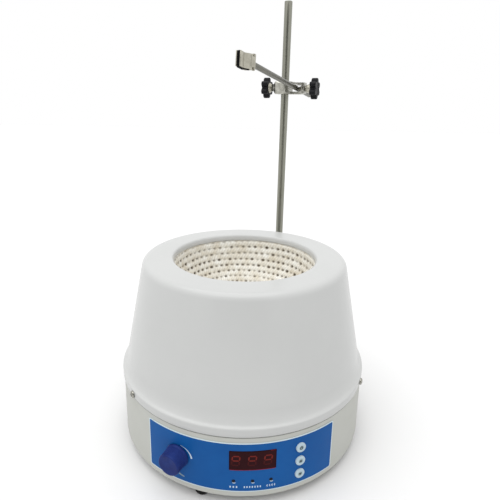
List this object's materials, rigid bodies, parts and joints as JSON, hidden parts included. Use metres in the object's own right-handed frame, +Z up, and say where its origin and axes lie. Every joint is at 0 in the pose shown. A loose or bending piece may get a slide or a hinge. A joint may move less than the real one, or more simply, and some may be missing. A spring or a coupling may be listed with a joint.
{
  "type": "heating mantle",
  "caption": "Stirring heating mantle for a round bottom flask, with a woven heated well, a digital control panel, and a support rod carrying a boss head, an arm and a rubber-lined clip.",
  "frame": {"origin": "on the bench, under the middle of the object's bounding box", "axes": "+Z up along the support rod, the control panel towards -Y, +X to the right of someone facing the panel"},
  "size_m": [0.278, 0.3456, 0.4917],
  "materials": {
    "shell_paint": "satin white powder coat",
    "base_paint": "satin light grey powder coat",
    "panel_film": "blue printed polyester film",
    "knob_blue": "satin dark blue plastic",
    "button_white": "satin white plastic",
    "window_red": "dark red filter sheet",
    "display_black": "matt black",
    "lens": "clear lens",
    "rubber": "matt black",
    "black_plastic": "moulded black",
    "steel": "bright steel",
    "rod_steel": "polished stainless rod",
    "nickel": "nickel plated",
    "aluminium": "satin",
    "fibre": "woven glass fibre",
    "wool": "loose mineral wool",
    "board": "green circuit board",
    "iron": "laminated iron and copper",
    "magnet": "plated magnet"
  },
  "bodies": {
    "mantle": {"base_shell": "base_paint", "bottom_plate": "base_paint", "upper_shell": "shell_paint", "control_panel": "panel_film", "display_window": "window_red", "display_module": "display_black", "display_board": "board", "potentiometer_body": "aluminium", "heating_bowl": "fibre", "heating_coil": "steel", "insulation": "wool", "inner_cup": "aluminium", "cup_stand": "steel", "stir_motor": "iron", "motor_bracket": "steel", "power_board": "board", "transformer": "iron", "triac_heatsink": "aluminium", "rear_panel": "base_paint", "power_inlet": "black_plastic", "switch_frame": "black_plastic", "fuse_holder": "black_plastic", "sensor_socket": "nickel", "rod_bracket": "aluminium", "lamp_set": "lens", "lamp_stir": "lens", "lamp_heat": "lens", "shell_screw_1": "steel", "shell_screw_2": "steel", "shell_screw_3": "steel", "rubber_foot_1": "rubber", "rubber_foot_2": "rubber", "rubber_foot_3": "rubber", "rubber_foot_4": "rubber", "bracket_screw_1": "steel", "bracket_screw_2": "steel"},
    "speed_knob": {"stir_knob": "knob_blue", "potentiometer_shaft": "steel"},
    "set_button": {"button_set": "button_white"},
    "up_button": {"button_up": "button_white"},
    "down_button": {"button_down": "button_white"},
    "rocker": {"power_rocker": "black_plastic"},
    "stirring_magnet": {"magnet_carrier": "aluminium", "stir_magnet": "magnet"},
    "fuse_carrier": {"fuse_cap": "black_plastic"},
    "rod_lock_screw": {"rod_lock_stud": "steel", "rod_lock_knob": "black_plastic"},
    "rod": {"support_rod": "rod_steel"},
    "boss": {"boss_head": "nickel"},
    "rod_clamp_screw": {"rod_clamp_stud": "steel", "rod_clamp_knob": "black_plastic"},
    "arm_clamp_screw": {"arm_clamp_stud": "steel", "arm_clamp_knob": "black_plastic"},
    "arm": {"clamp_arm": "steel", "clip_fixed_jaw": "nickel", "clip_fixed_pad": "rubber", "clip_pin": "steel", "clip_spring": "steel"},
    "sprung_jaw": {"clip_moving_jaw": "nickel", "clip_moving_pad": "rubber"}
  },
  "joints": [
    {"name": "speed_knob_turn", "type": "hinge", "parent": "mantle", "child": "speed_knob", "pos_m": [-0.06137, -0.15487, 0.0465], "axis": [-0.4384, -0.8988, 0], "range_deg": [-140, 140]},
    {"name": "set_button_press", "type": "slide", "parent": "mantle", "child": "set_button", "axis": [-0.4003, 0.9164, 0], "range_m": [0, 0.0008], "stiffness_N_per_m": 1200, "springref_m": -0.0005},
    {"name": "up_button_press", "type": "slide", "parent": "mantle", "child": "up_button", "axis": [-0.4003, 0.9164, 0], "range_m": [0, 0.0008], "stiffness_N_per_m": 1200, "springref_m": -0.0005},
    {"name": "down_button_press", "type": "slide", "parent": "mantle", "child": "down_button", "axis": [-0.4003, 0.9164, 0], "range_m": [0, 0.0008], "stiffness_N_per_m": 1200, "springref_m": -0.0005},
    {"name": "power_rocker_tilt", "type": "hinge", "parent": "mantle", "child": "rocker", "pos_m": [-0.04532, 0.0911, 0.046], "axis": [-0.9397, -0.342, 0], "range_deg": [0, 18]},
    {"name": "stirring_spin", "type": "hinge", "parent": "mantle", "child": "stirring_magnet", "pos_m": [0, -0.02904, 0.08], "axis": [0, 0, 1], "continuous": true},
    {"name": "fuse_cap_turn", "type": "hinge", "parent": "mantle", "child": "fuse_carrier", "pos_m": [-0.06552, 0.08226, 0.046], "axis": [-0.342, 0.9397, 0], "range_deg": [0, 90]},
    {"name": "rod_lock_turn", "type": "hinge", "parent": "mantle", "child": "rod_lock_screw", "pos_m": [0.05503, 0.14234, 0.054], "axis": [0.3057, 0.9521, 0], "range_deg": [0, 360]},
    {"name": "rod_turn", "type": "hinge", "parent": "mantle", "child": "rod", "pos_m": [0.04983, 0.12616, 0.04], "axis": [0, 0, 1], "range_deg": [-180, 180]},
    {"name": "boss_slide", "type": "slide", "parent": "rod", "child": "boss", "axis": [0, 0, 1], "range_m": [-0.145, 0.085]},
    {"name": "rod_clamp_turn", "type": "hinge", "parent": "boss", "child": "rod_clamp_screw", "pos_m": [0.02699, 0.13633, 0.3895], "axis": [-0.9135, 0.4067, 0], "range_deg": [0, 360]},
    {"name": "arm_clamp_turn", "type": "hinge", "parent": "boss", "child": "arm_clamp_screw", "pos_m": [0.08637, 0.10989, 0.3885], "axis": [0.9135, -0.4067, 0], "range_deg": [0, 360]},
    {"name": "arm_slide", "type": "slide", "parent": "boss", "child": "arm", "axis": [-0.4045, -0.9085, 0.1045], "range_m": [-0.08, 0.025]},
    {"name": "sprung_jaw_open", "type": "hinge", "parent": "arm", "child": "sprung_jaw", "pos_m": [0.00554, -0.03059, 0.40544], "axis": [0.0425, 0.0955, 0.9945], "range_deg": [0, 28], "stiffness_Nm_per_rad": 0.1, "springref_deg": -34.38}
  ]
}
